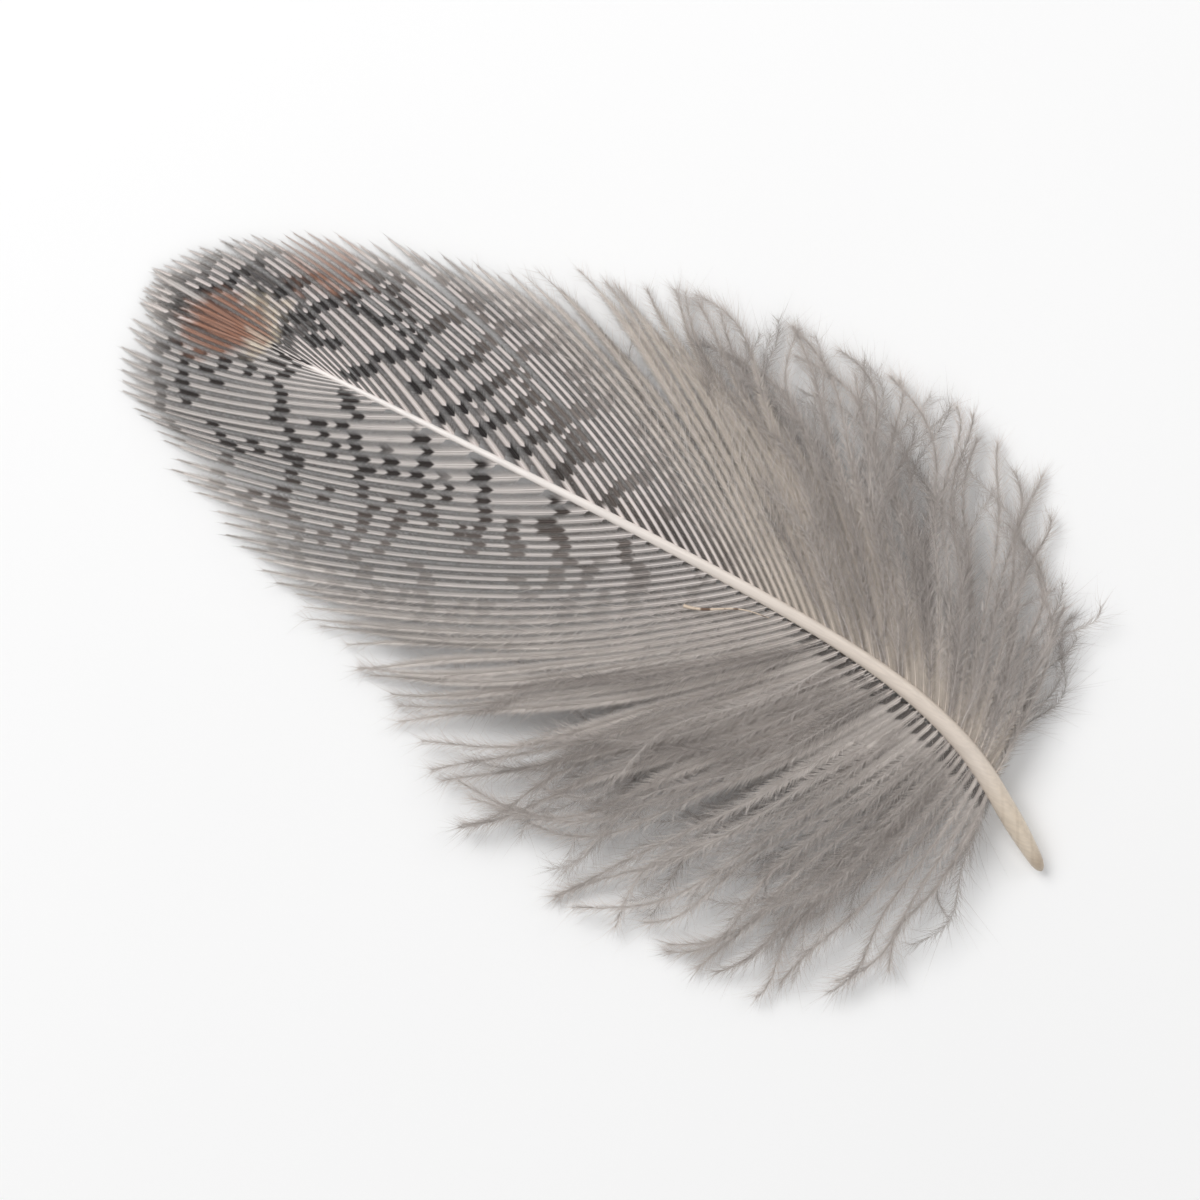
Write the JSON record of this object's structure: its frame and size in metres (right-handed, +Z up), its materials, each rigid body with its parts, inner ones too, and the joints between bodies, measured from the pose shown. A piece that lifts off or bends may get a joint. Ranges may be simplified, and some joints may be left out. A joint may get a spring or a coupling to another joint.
{
  "type": "partridge feather",
  "caption": "Small curved body feather, lying outer side up: pale shaft, two barred grey vanes with a rounded tip, downy base and a short downy afterfeather beneath.",
  "frame": {"origin": "middle of the part's own box, on the surface that it lies on", "axes": "+X along the feather from the quill to the tip, +Z up, out of the feather's outer side"},
  "size_m": [0.059, 0.0364, 0.0063],
  "materials": {
    "vane": "fine parallel barbs with a slight silky gloss, pale grey with small dark zigzag bars and a chestnut spot near the tip",
    "down": "soft matte grey down with silky lighter strands"
  },
  "bodies": {
    "root": {"feather": "vane", "afterfeather": "down"}
  },
  "joints": []
}
